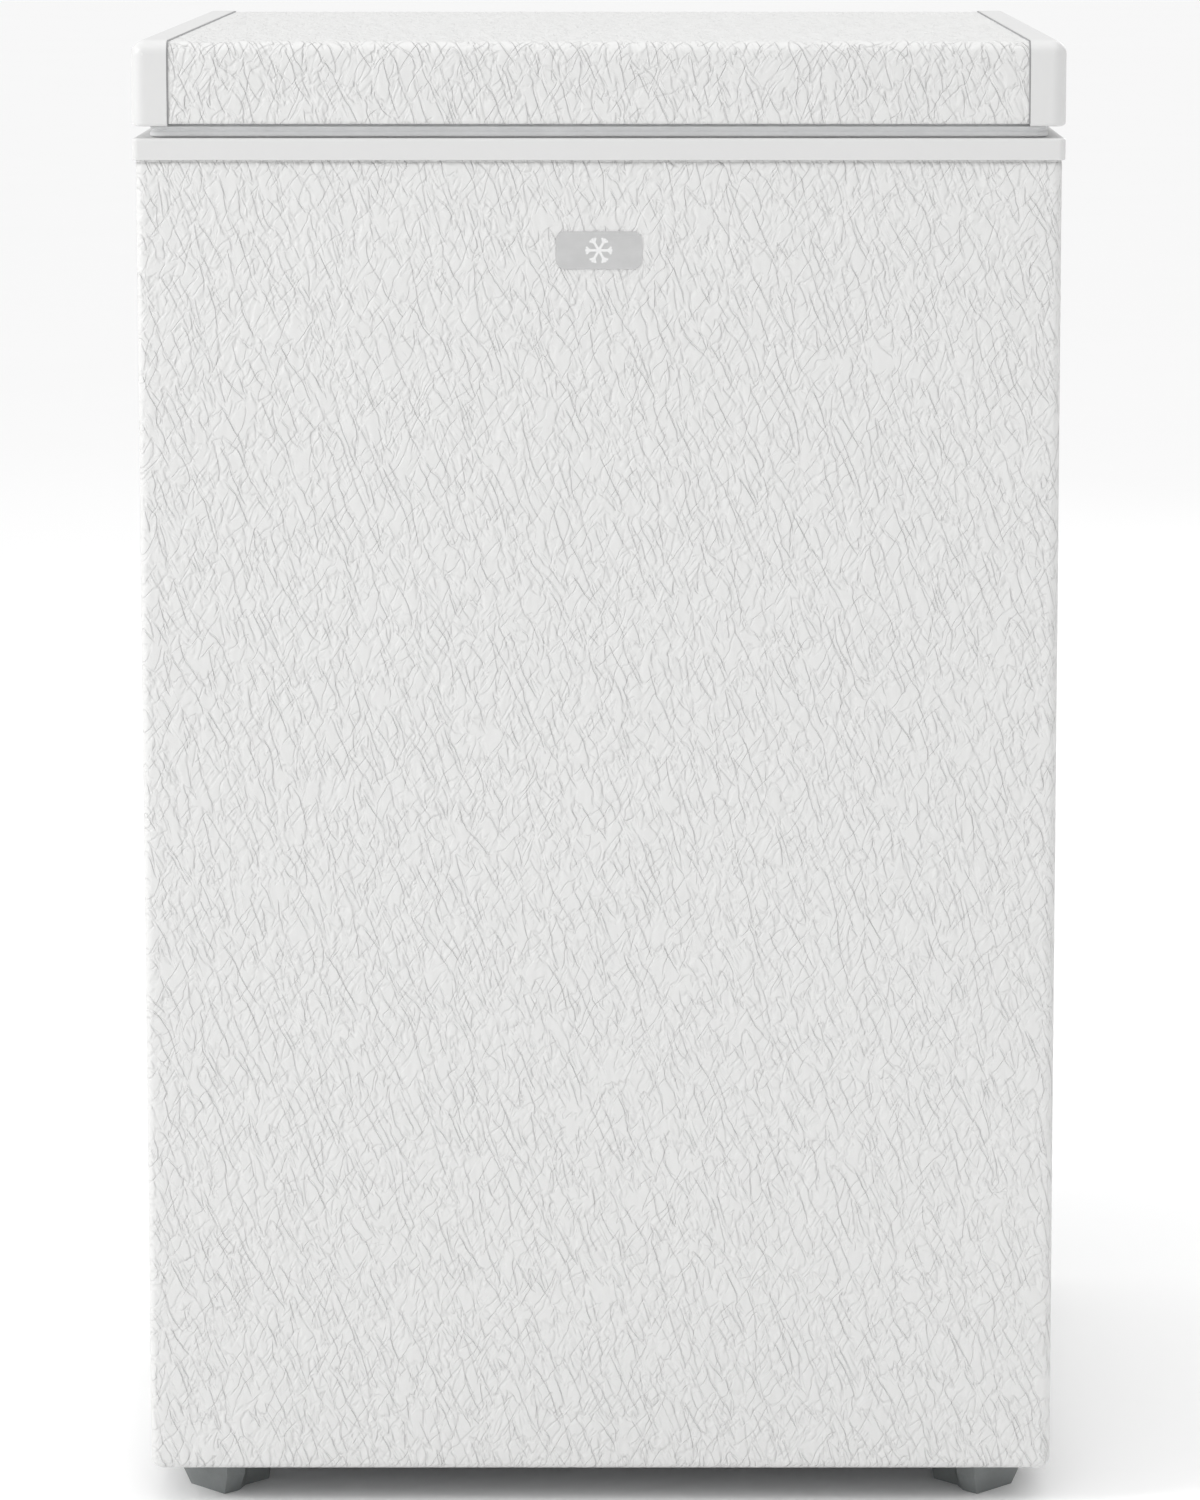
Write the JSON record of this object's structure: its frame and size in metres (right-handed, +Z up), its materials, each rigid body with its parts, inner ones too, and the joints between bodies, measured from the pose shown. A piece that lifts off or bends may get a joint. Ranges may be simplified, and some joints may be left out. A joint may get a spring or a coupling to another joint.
{
  "type": "chest freezer",
  "caption": "Small upright-proportioned chest freezer with a spring-hinged top lid, embossed steel walls, a sliding wire basket and a rear machine bay.",
  "frame": {"origin": "on the floor, under the middle of the closed freezer's box", "axes": "+Z up, front towards -Y, +X to the right as seen from the front"},
  "size_m": [0.54, 0.567, 0.87],
  "materials": {
    "outer_steel": "gloss",
    "lid_steel": "gloss",
    "base_steel": "satin",
    "liner_sheet": "satin",
    "foam": "matte",
    "white_plastic": "satin",
    "lid_liner_plastic": "satin",
    "gasket_rubber": "satin",
    "hinge_steel": "satin",
    "pin_steel": "satin",
    "spring_steel": "satin",
    "plunger_nylon": "satin",
    "foot_plastic": "satin",
    "compressor_black": "satin",
    "motor_steel": "matte",
    "grommet_rubber": "matte",
    "terminal_plastic": "satin",
    "copper": "satin",
    "tube_aluminium": "satin",
    "tube_steel": "satin",
    "cover_plastic": "satin",
    "bezel_plastic": "satin",
    "knob_plastic": "satin",
    "lens_green": "gloss",
    "lens_red": "gloss",
    "lens_amber": "gloss",
    "badge_metal": "satin",
    "basket_coating": "gloss"
  },
  "bodies": {
    "cabinet": {"alarm_lens": "lens_red", "badge": "badge_metal", "base_panel": "base_steel", "capillary_tube": "copper", "collar": "white_plastic", "compressor_bolts": "pin_steel", "compressor_grommets": "grommet_rubber", "compressor_lower_shell": "compressor_black", "compressor_motor": "motor_steel", "compressor_tray": "base_steel", "compressor_upper_shell": "compressor_black", "condenser_coil_left": "tube_steel", "condenser_coil_right": "tube_steel", "control_bezel": "bezel_plastic", "cord_gland": "cover_plastic", "cover_screws": "pin_steel", "discharge_tube": "copper", "drain_cap": "lid_liner_plastic", "drain_plug": "lid_liner_plastic", "drain_tube": "lid_liner_plastic", "dryer_filter": "copper", "evaporator_tube": "tube_aluminium", "foot_front_left": "foot_plastic", "foot_front_right": "foot_plastic", "foot_rear_left": "foot_plastic", "foot_rear_right": "foot_plastic", "foot_screws": "pin_steel", "freeze_lens": "lens_amber", "hinge_backing_plates": "base_steel", "hinge_bracket_left": "hinge_steel", "hinge_bracket_right": "hinge_steel", "hinge_pin_left": "pin_steel", "hinge_pin_right": "pin_steel", "hinge_screws": "pin_steel", "hinge_spring_left": "spring_steel", "hinge_spring_right": "spring_steel", "inner_liner": "liner_sheet", "insulation_foam": "foam", "machine_cover": "cover_plastic", "outer_wrap": "outer_steel", "power_lens": "lens_green", "rear_panel": "outer_steel", "suction_tube": "copper", "terminal_cover": "terminal_plastic", "thermostat_body": "terminal_plastic"},
    "lid": {"lid_panel": "lid_steel", "lid_cap_left": "white_plastic", "lid_cap_right": "white_plastic", "lid_liner": "lid_liner_plastic", "lid_foam": "foam", "lid_gasket": "gasket_rubber", "hinge_leaf_left": "hinge_steel", "hinge_leaf_right": "hinge_steel", "leaf_screws": "pin_steel", "leaf_backing_plates": "base_steel"},
    "left_plunger": {"hinge_plunger_left": "plunger_nylon"},
    "right_plunger": {"hinge_plunger_right": "plunger_nylon"},
    "wire_basket": {"basket": "basket_coating"},
    "knob": {"thermostat_knob": "knob_plastic"},
    "rocker": {"fast_freeze_rocker": "knob_plastic"}
  },
  "joints": [
    {"name": "lid_hinge", "type": "hinge", "parent": "cabinet", "child": "lid", "pos_m": [0, 0.2715, 0.8097], "axis": [-1, 0, 0], "range_deg": [0, 80], "stiffness_Nm_per_rad": 6, "springref_deg": 80.21},
    {"name": "left_plunger_slide", "type": "slide", "parent": "cabinet", "child": "left_plunger", "axis": [0, 0, 1], "range_m": [0, 0.00979], "deforming": ["hinge_spring_left"]},
    {"name": "right_plunger_slide", "type": "slide", "parent": "cabinet", "child": "right_plunger", "axis": [0, 0, 1], "range_m": [0, 0.00979], "deforming": ["hinge_spring_right"]},
    {"name": "basket_slide", "type": "slide", "parent": "cabinet", "child": "wire_basket", "axis": [1, 0, 0], "range_m": [0, 0.216]},
    {"name": "knob_turn", "type": "hinge", "parent": "cabinet", "child": "knob", "pos_m": [-0.198, 0.25205, 0.15], "axis": [0, 1, 0], "range_deg": [0, 300]},
    {"name": "rocker_tilt", "type": "hinge", "parent": "cabinet", "child": "rocker", "pos_m": [-0.149, 0.24675, 0.15], "axis": [1, 0, 0], "range_deg": [-6, 6]}
  ],
  "couplings": [
    {"joint": "left_plunger_slide", "follows": "lid_hinge", "m_per_rad": 0.007},
    {"joint": "right_plunger_slide", "follows": "lid_hinge", "m_per_rad": 0.007}
  ]
}
